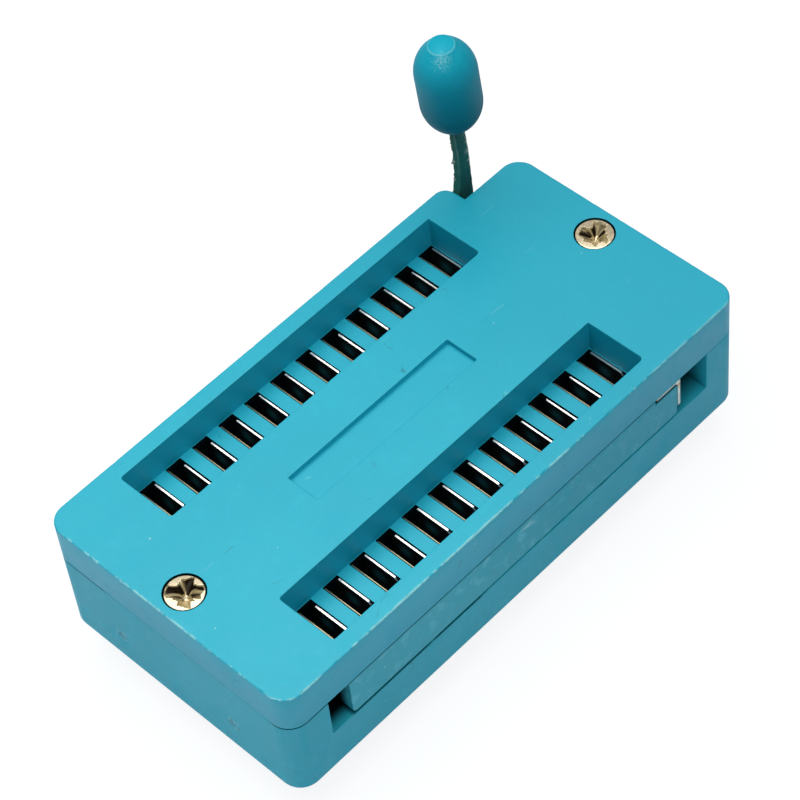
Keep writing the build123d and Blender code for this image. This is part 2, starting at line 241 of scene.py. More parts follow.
# Puts a finished mesh in the scene, on its body and slot, instead of the node it replaces.
def placePiece(name, node, mesh, body, material):
    piece = addObject(name, mesh)
    mesh.materials.append(material)
    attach(piece, body)
    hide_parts(node)


# One piece from parts: merged where their points meet, sharp edges marked, normals set. soot is
# one value per vertex, by which a metal dulls and then blackens, for soot and for painted shade.
def finishPiece(name, node, parts, body, material, sharp=40, soot=None):
    verts, faces, wear, flat, start = [], [], [], [], 0
    for partVerts, partFaces, partWear, partFlat in parts:
        verts.append(partVerts)
        faces += (partFaces + start).tolist()
        wear.append(partWear)
        flat += [partFlat] * len(partFaces)
        start += len(partVerts)
    mesh = bpy.data.meshes.new(name)
    mesh.from_pydata((np.concatenate(verts) * mm).tolist(), [], faces)
    mesh.attributes.new("rimWear", "FLOAT", "POINT").data.foreach_set("value", np.concatenate(wear))
    if soot is not None:
        mesh.attributes.new("soot", "FLOAT", "POINT").data.foreach_set("value", soot)
    mesh.attributes.new("flatFace", "INT", "FACE").data.foreach_set("value", np.array(flat, np.int32))
    bm = bmesh.new()
    bm.from_mesh(mesh)
    bmesh.ops.remove_doubles(bm, verts=bm.verts, dist=2e-7)
    markSharp(bm, sharp)
    bm.to_mesh(mesh)
    bm.free()
    kept = np.zeros(len(mesh.polygons), np.int32)
    mesh.attributes["flatFace"].data.foreach_get("value", kept)
    mesh.attributes.remove(mesh.attributes["flatFace"])
    keepFlatNormals(mesh, kept > 0)
    placePiece(name, node, mesh, body, material)


# The node's solid with its edges rounded, or only those that chooser picks: a merged copy whose flat
# faces are made whole. shift(points) may give each point a small move of its own.
def softenedCopy(name, node, width, body, material, steps=3, chooser=None, shift=None):
    bm = bmesh.new()
    bm.from_mesh(nodes[node].data)
    bmesh.ops.remove_doubles(bm, verts=bm.verts, dist=2e-6)
    bmesh.ops.dissolve_limit(bm, angle_limit=radians(0.4), verts=bm.verts, edges=bm.edges)
    chosen = [edge for edge in bm.edges if edge.is_manifold and edge.calc_face_angle(0.0) > radians(25)]
    if chooser is not None:
        chosen = [edge for edge in chosen if chooser(edge)]
    bmesh.ops.bevel(bm, geom=chosen, offset=width * mm, offset_type="OFFSET", segments=steps, profile=0.5,
                    affect="EDGES", clamp_overlap=True, loop_slide=True)
    markSharp(bm, 40)
    bmesh.ops.triangulate(bm, faces=[f for f in bm.faces if len(f.verts) > 4])
    mesh = bpy.data.meshes.new(name)
    bm.to_mesh(mesh)
    bm.free()
    if shift is not None:
        points = np.zeros(len(mesh.vertices) * 3)
        mesh.vertices.foreach_get("co", points)
        points = points.reshape(-1, 3) / mm
        mesh.vertices.foreach_set("co", ((points + shift(points)) * mm).ravel())
        mesh.update()
    spread = np.zeros(len(mesh.polygons) * 3)
    mesh.polygons.foreach_get("normal", spread)
    keepFlatNormals(mesh, np.abs(spread.reshape(-1, 3)).max(axis=1) > 0.9995)
    placePiece(name, node, mesh, body, material)


# An output of a node that reckons as a number does: each sign adds a Math node to the output's own tree.
class Signal:
    def __init__(self, socket):
        self.socket = socket
        self.tree = socket.id_data

    def __add__(self, value):
        return mathNode("ADD", self, value)

    def __sub__(self, value):
        return mathNode("SUBTRACT", self, value)

    def __rsub__(self, value):
        return mathNode("SUBTRACT", value, self)

    def __mul__(self, value):
        return mathNode("MULTIPLY", self, value)

    def __abs__(self):
        return mathNode("ABSOLUTE", self)

    # Another output of the same node.
    def other(self, key):
        return Signal(self.socket.node.outputs[key])


# Sets a node's inputs, by name or number, to values or to signals.
def feed(node, inputs):
    for key, value in inputs.items():
        if isinstance(value, Signal):
            node.id_data.links.new(value.socket, node.inputs[key])
        else:
            node.inputs[key].default_value = value


# Adds a node with its settings and returns one of its outputs.
def addNode(tree, kind, inputs=None, out=0, **settings):
    node = tree.nodes.new(kind)
    for key, value in settings.items():
        setattr(node, key, value)
    feed(node, inputs or {})
    return Signal(node.outputs[out])


def mathNode(operation, *values):
    tree = next(value.tree for value in values if isinstance(value, Signal))
    return addNode(tree, "ShaderNodeMath", dict(enumerate(values)), operation=operation)


def larger(first, second):
    return mathNode("MAXIMUM", first, second)


# Length of the way a to one side and b to the other.
def distance(a, b):
    return mathNode("SQRT", a * a + b * b)


# 0 at low, 1 at high, smooth between.
def ramp(value, low, high):
    inputs = {"Value": value, "From Min": low, "From Max": high}
    return addNode(value.tree, "ShaderNodeMapRange", inputs, interpolation_type="SMOOTHSTEP")


def noise(place, scale, detail=2.0, rough=0.5):
    inputs = {"Vector": place, "Scale": scale, "Detail": detail, "Roughness": rough}
    return addNode(place.tree, "ShaderNodeTexNoise", inputs)


# The x, y and z of a place or a direction.
def split(place):
    x = addNode(place.tree, "ShaderNodeSeparateXYZ", {0: place})
    return x, x.other(1), x.other(2)


def mix(factor, first, second):
    return addNode(factor.tree, "ShaderNodeMix", {0: factor, 6: first, 7: second}, out=2, data_type="RGBA")


def bump(height, strength, reach):
    inputs = {"Height": height, "Strength": strength, "Distance": reach}
    return addNode(height.tree, "ShaderNodeBump", inputs)


def attribute(place, name):
    return addNode(place.tree, "ShaderNodeAttribute", out="Fac", attribute_name=name)


origin = (0.0, 0.0, 0.0)


# Empty shader group. Its inputs are a place and what inputs names, with a default of one or three numbers;
# its outputs are numbers. Returns the signals given to the group and the node that takes its results.
def newGroup(name, inputs, outputs=("Mask",)):
    group = bpy.data.node_groups.new(name, "ShaderNodeTree")
    for key, value in {"Place": origin, **inputs}.items():
        kind = "NodeSocketVector" if isinstance(value, tuple) else "NodeSocketFloat"
        group.interface.new_socket(key, in_out="INPUT", socket_type=kind).default_value = value
    for key in outputs:
        group.interface.new_socket(key, in_out="OUTPUT", socket_type="NodeSocketFloat")
    given = [Signal(socket) for socket in group.nodes.new("NodeGroupInput").outputs if socket.name]
    return given, group.nodes.new("NodeGroupOutput")


# One use of a shared group; returns its first output.
def useGroup(name, place, **inputs):
    group = bpy.data.node_groups[name]
    return addNode(place.tree, "ShaderNodeGroup", {"Place": place, **inputs}, node_tree=group)


# Places on the body that the effects read, in metres.
bodyPlaces = {
    "parting": 0.00784, "sliderFoot": 0.00421, "sliderMiddle": 0.0004, "sliderReach": 0.0168,
    "sliderEnd": 0.01682, "windowMiddle": 0.0009, "windowReach": 0.0196, "farGap": 0.0162,
    "troughFloor": 0.008449, "coverTop": 0.01124, "screwReach": 0.02035, "screwSeat": 0.00156,
    "nearSide": -0.0212, "markAcross": 0.0055, "markHeight": 0.0034,
}


# Slow tone drift, cloudy scuffing, crumbs in patches and fine grain of a moulded face.
def makeMouldedSkin():
    (place, driftScale, grainScale), result = newGroup(
        "mouldedSkin", {"Drift": 90.0, "Grain": 6500.0}, ["Tone", "Cloud", "Grit", "Height"])
    drift = noise(place, driftScale, 3.0, 0.55)
    cloud = noise(place, driftScale * 7.0, 6.0, 0.66)
    grain = noise(place, grainScale, 2.0, 0.6)
    coarse = noise(place, grainScale * 0.22)
    patchy = noise(place, driftScale * 4.0)
    feed(result, {
        "Tone": drift * 0.7 + grain * 0.3, "Cloud": ramp(cloud, 0.44, 0.74),
        "Grit": ramp(coarse, 0.5, 0.72) * ramp(patchy, 0.36, 0.62), "Height": grain * 0.5 + coarse * 0.5})


# Pale wear along an edge: a thin line where the rim value is high, eaten into by noise.
def makeRimScuff():
    (place, rim, amount, scale), result = newGroup(
        "rimScuff", {"Rim": 0.0, "Amount": 0.5, "Scale": 1300.0})
    blend = noise(place, scale, 4.0, 0.65) * 0.9 + noise(place, scale * 0.12, 1.0) * 0.5
    level = blend + rim * 0.5 + (amount * 0.3 - 0.15)
    feed(result, {"Mask": ramp(level, 1.16, 1.28) * rim})


# Scattered specks: a cell holds one where its random number is below the share, sized by another.
def makeFleckField():
    (place, scale, share, size), result = newGroup(
        "fleckField", {"Scale": 500.0, "Share": 0.2, "Size": 0.2})
    away = addNode(place.tree, "ShaderNodeTexVoronoi", {"Vector": place, "Scale": scale})
    random = addNode(place.tree, "ShaderNodeSeparateColor", {0: away.other("Color")})
    reach = size * (random.other("Green") + 0.25)
    near = ramp(away * (noise(place, scale * 9.0, 1.0) + 0.5), reach, reach * 0.5)
    feed(result, {"Mask": mathNode("LESS_THAN", random, share) * near})


# Thin broken lines: where a stretched noise passes its middle value, kept in patches.
def makeHairLines():
    (place, turn, stretch, scale, width, share), result = newGroup(
        "hairLines", {"Turn": origin, "Stretch": origin, "Scale": 260.0, "Width": 0.006, "Share": 0.5})
    lay = addNode(place.tree, "ShaderNodeMapping", {"Vector": place, "Rotation": turn, "Scale": stretch})
    line = ramp(abs(noise(lay, scale, 1.0, 0.4) - 0.5), width, 0.0)
    kept = ramp(noise(place, scale * 1.3) + share * 0.3, 0.7, 0.76)
    feed(result, {"Mask": line * kept})


# How deep a point lies in the unlit inside: past the side openings, between the windows' ends and below
# the troughs' floors, fading in more slowly at the far gap, or down a screw's seat.
def makeInsideShade():
    b = SimpleNamespace(**bodyPlaces)
    (place,), result = newGroup("insideShade", {})
    x, y, z = split(place)
    along = abs(y - b.windowMiddle)
    farGap = ramp(y, b.farGap, b.farGap + 0.0008)
    sideways = ramp(abs(x), 0.0114, 0.0086) * farGap + ramp(abs(x), 0.0111, 0.01015) * (1.0 - farGap)
    below = ramp(z, b.troughFloor, b.troughFloor - 0.000011) * ramp(z, 0.0009, 0.0016)
    window = sideways * ramp(along, b.windowReach, b.windowReach - 0.0005) * below
    fromScrew = distance(x, along - b.screwReach)
    seat = ramp(fromScrew, b.screwSeat, b.screwSeat - 0.00003) * ramp(z, b.coverTop, b.coverTop - 0.00006)
    feed(result, {"Mask": larger(window, seat)})


# Painted shade in the gaps between parts: a dark line where the cover meets what lies under it, strong at
# both ends of the near side and broken elsewhere, with the lines under the slider and at its far end.
def makePartingShade():
    b = SimpleNamespace(**bodyPlaces)
    (place, show, width), result = newGroup("partingShadeLine", {"Show": 0.3, "Width": 0.0001})
    x, y, z = split(place)
    sliderEnd = ramp(abs(y - b.sliderEnd), 0.00012, 0.00006) * ramp(abs(z - 0.006), 0.0018, 0.0017)
    underCover = ramp(abs(z - b.parting) * (1.0 - sliderEnd), width, 0.00004)
    beside = ramp(abs(y - b.sliderMiddle), b.sliderReach, b.sliderReach - 0.0004)
    underSlider = ramp(abs(z - b.sliderFoot), 0.00013, 0.00006) * beside
    ends = larger(ramp(x, -0.0035, -0.0075), ramp(x, 0.0088, 0.0104)) * ramp(y, 0.002, -0.012)
    level = noise(place, 330.0, 3.0, 0.6) + ends * 0.38 + show * 0.4
    feed(result, {"Mask": larger(underCover, underSlider) * ramp(level, 0.6, 0.82)})


# Fine streaks along one axis, as on drawn, ground or sheared metal.
def makeDrawnGrain():
    (place, stretch, scale), result = newGroup(
        "drawnGrain", {"Stretch": origin, "Scale": 9000.0}, ["Tone", "Height"])
    lay = addNode(place.tree, "ShaderNodeVectorMath", {0: place, 1: stretch}, operation="MULTIPLY")
    streak = noise(lay, scale, 3.0, 0.6)
    feed(result, {"Tone": streak * 0.5 + noise(place, scale * 0.12, 3.0, 0.6) * 0.5, "Height": streak})


for makeGroup in (makeMouldedSkin, makeRimScuff, makeFleckField, makeHairLines, makeInsideShade,
                  makePartingShade, makeDrawnGrain):
    makeGroup()


# Two ejector marks on the near side: a small patch of dark pits and pale crumbs round each place.
def ejectorMarks(place):
    b = SimpleNamespace(**bodyPlaces)
    x, y, z = split(place)
    away = distance(abs(x) - b.markAcross, z - b.markHeight)
    near = ramp(away, 0.00085, 0.0002) * ramp(y, b.nearSide, b.nearSide - 0.0002)
    show = ramp(near, 0.0, 0.25)
    pits, crumbs = noise(place, 2600.0, 3.0, 0.6), noise(place, 3900.0, 2.0, 0.6)
    return [ramp(grain + near * 0.16, 0.62, 0.7) * show for grain in (pits, crumbs)]


# Painted highlight: loose pale sparkle round one point, thinning out with distance.
def paintedGlint(place, centre, reach):
    away = addNode(place.tree, "ShaderNodeVectorMath", {0: place, 1: centre}, "Value", operation="DISTANCE")
    near = 1.0 - away * (1.0 / reach)
    spark = ramp(noise(place, 10500.0, 2.0, 0.6) + near * 0.34, 0.66, 0.9)
    return spark * ramp(near, 0.0, 0.3)


def newMaterial(name):
    material = bpy.data.materials.new(name)
    material.use_nodes = True
    place = addNode(material.node_tree, "ShaderNodeTexCoord", out="Object")
    return material, material.node_tree.nodes["Principled BSDF"], place


# Moulded teal plastic: tone drift, cloudy scuffs, specks, hair scratches and fibres, worn rims, painted
# shade at the far end and low on the knob, painted light and shade on the troughs' walls, a painted
# highlight on the knob, painted shade in the gaps between parts, and painted shade, near black, where no
# light gets in.
def tealPlastic(name, finish):
    material, shader, place = newMaterial(name)
    f = SimpleNamespace(**finish)
    x, y, z = split(place)
    skin = useGroup("mouldedSkin", place, Drift=f.drift, Grain=f.grain)
    cloud = skin.other("Cloud")
    scuff = useGroup("rimScuff", place, Rim=attribute(place, "rimWear"), Amount=f.wear)
    pale = useGroup("fleckField", place, Scale=560.0, Share=f.paleShare, Size=0.055)
    pits = useGroup("fleckField", place, Scale=310.0, Share=f.darkShare, Size=0.048)
    scratch = useGroup("hairLines", place, Turn=(0.0, 0.0, f.scratchTurn), Stretch=(1.0, 0.14, 0.6),
                       Scale=300.0, Width=0.003, Share=f.scratches)
    fibre = useGroup("hairLines", place, Turn=(0.3, 0.2, 1.1), Stretch=(1.0, 0.8, 1.0), Scale=330.0,
                     Width=0.006, Share=f.fibres)
    deepIn = useGroup("insideShade", place)
    colour = mix(ramp(skin, 0.3, 0.7), f.deep, f.light)
    frost = ramp(y, f.frostEnd, f.frostEnd - 0.012) * f.frost
    crumbs = skin.other("Grit") * (frost * 3.0 + f.grit)
    colour = mix(cloud * f.cloud + frost + crumbs, colour, f.dusty)
    colour = mix(scuff * f.rimShow, colour, f.worn)
    colour = mix(larger(pale, scratch) * f.marks, colour, f.worn)
    if f.ejector:
        holes, crumbs = ejectorMarks(place)
        colour = mix(crumbs * 0.4, colour, f.worn)
        pits = larger(pits, holes * 0.6)
    colour = mix(larger(pits, fibre * 0.7) * 0.8, colour, f.dirt)
    if f.glint:
        # painted highlight on the knob, in the pale wear colour
        colour = mix(paintedGlint(place, f.glintPlace, 0.0012) * f.glint, colour, f.worn)
    # painted shade: darker towards the far end
    colour = mix(ramp(y, -0.004, 0.018) * f.farShade, colour, f.farTone)
    muted = deepIn
    # painted light and shade on the troughs' walls: the left walls painted paler, the far walls painted
    # deeper and duller
    if f.walls:
        facing = split(place.other("Normal"))
        within = ramp(abs(x), 0.0108, 0.0104) * ramp(abs(y + 0.0005), 0.0162, 0.0158)
        within = within * ramp(z, 0.0112, 0.011)
        colour = mix(ramp(facing[0], 0.5, 0.9) * within * f.walls, colour, f.wallPale)
        farWall = ramp(facing[1], -0.5, -0.9) * within
        colour = mix(farWall * f.walls, colour, f.wallDeep)
        muted = larger(deepIn, farWall * 0.7)
    # painted shade: the knob darker lower down
    colour = mix(ramp(z, f.shadeTop, f.shadeTop - 0.009) * f.shade, colour, f.shadow)
    # painted shade in the gaps between parts, in the colour that also darkens the specks and fibres
    seam = useGroup("partingShadeLine", place, Show=f.seam, Width=f.seamWidth)
    colour = mix(seam * 0.8, colour, f.dirt)
    rough = cloud * 0.12 + f.roughness + scuff * 0.2 + deepIn * 0.5
    height = skin.other("Height") - scratch * 0.8 - pits * 1.5
    # painted shade: near black where the inside is unlit, and less shine there, on the far walls and in the
    # gaps
    feed(shader, {
        "Base Color": mix(deepIn * 0.985, colour, (0.001, 0.003, 0.004, 1)),
        "Roughness": mathNode("MINIMUM", rough, 1.0),
        "Specular IOR Level": (1.0 - larger(muted, seam)) * f.shine,
        "Normal": bump(height, f.bump, 0.00002)})
    return material


# Metal with streaks along one axis and cloudy tarnish, a value for soot and painted shade that dulls and
# blackens it, and a worn rim. Returns what the finishes below go on from.
def wornMetal(name, finish):
    material, shader, place = newMaterial(name)
    f = SimpleNamespace(**finish)
    grain = useGroup("drawnGrain", place, Stretch=f.stretch, Scale=f.scale)
    scuff = useGroup("rimScuff", place, Rim=attribute(place, "rimWear"), Amount=f.wear, Scale=3500.0)
    tone = ramp(grain, 0.32, 0.68)
    # soot, and painted shade in the screw recesses
    soot = attribute(place, "soot")
    recess = ramp(soot, 0.0, 0.14)
    sootAndShadeColour = mix(ramp(soot, 0.16, 1.0), f.recess, f.soot)
    colour = mix(scuff, mix(recess, mix(tone, f.deep, f.light), sootAndShadeColour), f.worn)
    feed(shader, {
        "Base Color": colour, "Metallic": (1.0 - recess * 0.75) * f.metallic,
        "Roughness": tone * f.roughDrift + f.roughness, "Specular IOR Level": 0.5 - recess * 0.4,
        "Normal": bump(grain.other("Height"), f.bump, 0.00001)})
    return material, shader, place, colour


# Contact metal: bright on the sheared tips and the tails, painted shade, near black, down inside the slot,
# with a painted dull teal sheen (gleam) in the middle of each sprung leaf.
def contactMetal(name, finish):
    material, shader, place, colour = wornMetal(name, finish)
    f = SimpleNamespace(**finish)
    x, y, z = split(place)
    upward = ramp(split(place.other("Normal"))[2], 0.35, 0.6)
    halfPitch = 0.00127
    across = mathNode("WRAP", y + halfPitch, halfPitch, -halfPitch)
    farTip = ramp(across, f.farTip, f.farTip + 0.00003)
    nearTip = ramp(across, f.nearTip, f.nearTip + 0.00003) * mathNode("LESS_THAN", across, 0.0)
    lit = upward * ramp(z, f.tipStart, f.tipStart + 0.0001) * larger(farTip, nearTip)
    lit = larger(lit, ramp(z, f.tailTop, f.tailTop - 0.0003))
    sideways = mathNode("MINIMUM", *[abs(x - spot) for spot in f.gleamX])
    gleam = ramp(sideways, 0.0009, 0.0) * ramp(abs(z - f.gleamZ), 0.0007, 0.0)
    # painted shade: near black away from the bright tips and tails, with a painted teal sheen on each leaf
    dark = mix(gleam * 0.9, f.shadow, f.gleam)
    feed(shader, {
        "Base Color": mix(lit, dark, mix(nearTip, colour, f.nearColour)), "Metallic": lit,
        "Roughness": 0.85 - lit * 0.55, "Specular IOR Level": lit * 0.45 + 0.05})
    return material


# Lever steel: dull green, less shiny on the sheared edges, with cream burrs on the rims and a painted
# shadow, dark and less shiny, at the foot.
def stripSteel(name, finish):
    material, shader, place, colour = wornMetal(name, finish)
    f = SimpleNamespace(**finish)
    x, z = split(place)[::2]
    sheared = ramp(abs(split(place.other("Normal"))[0]), 0.75, 0.4)
    edgeOn = sheared * ramp(x, f.edgeFade, f.edgeFade - 0.0003)
    scuff = useGroup("rimScuff", place, Rim=attribute(place, "rimWear"), Amount=f.wear, Scale=2600.0)
    colour = mix(scuff, mix(edgeOn, colour, f.edge), f.worn)
    # painted shadow: darker and less shiny at the foot, where the notch shades it
    foot = ramp(z, f.footTop, f.footTop - 0.0011)
    feed(shader, {
        "Base Color": mix(foot, colour, f.grime), "Roughness": edgeOn * 0.25 + f.roughness,
        "Specular IOR Level": (1.0 - larger(foot, edgeOn) * 0.8) * f.shine})
    return material


# Wear plate: pale rough steel, rusty in patches at its top corners, with a painted shadow below its upper
# leg's edge.
def plateMetal(name, finish):
    material, shader, place, colour = wornMetal(name, finish)
    x, y, z = split(place)
    corner = ramp(abs(x), 0.0103, 0.0112) * ramp(z, 0.0066, 0.0074)
    patch = ramp(noise(place, 1500.0, 3.0, 0.6), 0.48, 0.62)
    # painted shadow: dark below the upper leg's edge
    under = ramp(z, 0.00762, 0.00757) * ramp(y, 0.01672, 0.01664)
    colour = mix(corner * patch, colour, finish["rust"])
    feed(shader, {"Base Color": mix(under, colour, (0.004, 0.008, 0.009, 1))})
    return material


coverFinish = {
    "deep": (0.01, 0.4, 0.52, 1), "light": (0.013, 0.45, 0.57, 1), "dusty": (0.026, 0.5, 0.63, 1),
    "worn": (0.33, 0.72, 0.72, 1), "dirt": (0.006, 0.08, 0.1, 1), "farTone": (0.003, 0.3, 0.41, 1),
    "wallPale": (0.014, 0.56, 0.73, 1), "wallDeep": (0.003, 0.26, 0.37, 1),
    "shadow": (0.002, 0.11, 0.17, 1), "drift": 70.0, "grain": 5200.0, "wear": 0.55, "rimShow": 0.75,
    "cloud": 0.16, "grit": 0.22, "frost": 0.0, "frostEnd": 0.0, "paleShare": 0.45, "darkShare": 0.5,
    "scratches": 0.17, "scratchTurn": 0.6, "fibres": 0.2, "marks": 0.6, "roughness": 0.42, "bump": 0.25,
    "shine": 0.44, "seam": 0.1, "seamWidth": 0.0001, "farShade": 0.42, "walls": 0.7, "shade": 0.0,
    "shadeTop": 0.0, "ejector": False, "glint": 0.0, "glintPlace": (-0.00961, 0.01703, 0.02568),
}
baseFinish = dict(
    coverFinish, deep=(0.01, 0.385, 0.485, 1), light=(0.014, 0.43, 0.53, 1), roughness=0.46, grit=0.4,
    scratchTurn=1.4, ejector=True, walls=0.0, farShade=0.3)
sliderFinish = dict(
    coverFinish, deep=(0.012, 0.37, 0.46, 1), light=(0.022, 0.41, 0.5, 1),
    dusty=(0.075, 0.5, 0.59, 1), cloud=0.12, frost=0.3, frostEnd=0.004, scratches=0.5, roughness=0.5,
    bump=0.5, seam=1.0, seamWidth=0.00026, grit=0.8, walls=0.0, farShade=0.45)
knobFinish = dict(
    coverFinish, deep=(0.006, 0.355, 0.465, 1), light=(0.009, 0.395, 0.51, 1), cloud=0.08, roughness=0.5,
    bump=0.45, scratches=0.0, fibres=0.0, paleShare=0.18, marks=0.5, shine=0.12, shade=0.94,
    shadeTop=0.0273, shadow=(0.002, 0.125, 0.165, 1), glint=0.55, grit=0.25, wear=1.7, rimShow=0.36,
    walls=0.0, farShade=0.0)
nickelFinish = {
    "deep": (0.52, 0.43, 0.28, 1), "light": (0.66, 0.56, 0.38, 1), "worn": (0.8, 0.74, 0.6, 1),
    "soot": (0.012, 0.006, 0.003, 1), "recess": (0.62, 0.5, 0.26, 1), "stretch": (1.0, 1.0, 1.0),
    "scale": 2600.0, "wear": 0.45, "metallic": 1.0, "roughness": 0.2, "roughDrift": 0.1, "bump": 0.15,
}
tinFinish = dict(
    nickelFinish, deep=(0.9, 0.89, 0.86, 1), light=(0.96, 0.95, 0.93, 1), worn=(0.97, 0.97, 0.95, 1),
    shadow=(0.0035, 0.005, 0.0055, 1), gleam=(0.01, 0.07, 0.08, 1), nearColour=(0.36, 0.32, 0.2, 1),
    tipStart=0.00815, tailTop=0.0006, farTip=0.00049, nearTip=-0.00057, gleamX=(-0.00842, 0.00682),
    gleamZ=0.0075, stretch=(1.0, 0.3, 1.0), scale=5000.0, bump=0.0)
stripFinish = dict(
    nickelFinish, deep=(0.014, 0.098, 0.078, 1), light=(0.024, 0.152, 0.118, 1),
    edge=(0.024, 0.12, 0.092, 1), worn=(0.6, 0.54, 0.4, 1), grime=(0.007, 0.03, 0.026, 1),
    footTop=0.0103, edgeFade=-0.01015, stretch=(1.0, 1.0, 0.12), wear=1.3, metallic=0.0, roughness=0.46,
    shine=0.26, bump=0.3)
shaftFinish = dict(
    nickelFinish, deep=(0.3, 0.3, 0.29, 1), light=(0.48, 0.47, 0.45, 1), stretch=(0.1, 1.0, 1.0),
    roughness=0.32)
plateFinish = dict(
    nickelFinish, deep=(0.6, 0.66, 0.6, 1), light=(1.0, 1.0, 0.92, 1), rust=(0.62, 0.42, 0.22, 1),
    stretch=(0.3, 1.0, 1.0), scale=3200.0, metallic=0.6, roughness=0.45, roughDrift=0.22, bump=0.6)

coverPlastic = tealPlastic("coverPlastic", coverFinish)
basePlastic = tealPlastic("basePlastic", baseFinish)
sliderPlastic = tealPlastic("sliderPlastic", sliderFinish)
knobPlastic = tealPlastic("knobPlastic", knobFinish)
screwNickel = wornMetal("screwNickel", nickelFinish)[0]
contactTin = contactMetal("contactTin", tinFinish)
leverSteel = stripSteel("leverSteel", stripFinish)
shaftSteel = wornMetal("shaftSteel", shaftFinish)[0]
plateSteel = plateMetal("plateSteel", plateFinish)
print("stage: finishes made")

# Cover: a slotted lid with two troughs, a name panel and two screw seats.
coverShape = {
    "side": 11.45, "near": -21.6, "far": 23.4, "corner": 1.6, "parting": 7.85, "top": 11.25,
    "rim": 0.09, "lip": 0.06, "support": 0.16, "chip": 0.15,
    "stepWidth": 2.04, "stepLength": 5.6, "stepOuter": 1.0, "stepInner": 0.1, "stepEnd": 1.5,
    "troughX": 7.62, "troughWidth": 5.02, "troughNear": -15.79, "troughFar": 14.74, "troughFloor": 8.45,
    "troughCorners": (0.25, 0.35, 0.08, 0.25), "troughRim": 0.04,
    "pitch": 2.54, "slots": 12, "slotWidth": 1.4, "slotLength": 4.96, "slotRim": 0.03,
    "panelWidth": 2.8, "panelLength": 15.75, "panelDepth": 0.45, "panelY": -0.53, "panelRim": 0.04,
    "screwInset": 2.15, "seatRadius": 1.51, "seatFloor": 10.2, "shankHole": 1.0, "seatRim": 0.04,
    "capX": 8.45, "capWidth": 0.8, "capReach": 1.0, "shaftY": 18.85, "shaftZ": 6.01, "shaftHole": 1.03,
}
slotPlaces = [(side * coverShape["troughX"], (k - (coverShape["slots"] - 1) / 2) * coverShape["pitch"])
              for side in (-1, 1) for k in range(coverShape["slots"])]
screwPlaces = [coverShape["near"] + coverShape["screwInset"], coverShape["far"] - coverShape["screwInset"]]


# A hole's wall, and the loop at which the face round it ends.
def cutHole(parts, loops, path, away, profile):
    parts.append(sweptWall(path, away, profile))
    loops.append(path + away * profile[0, 0])


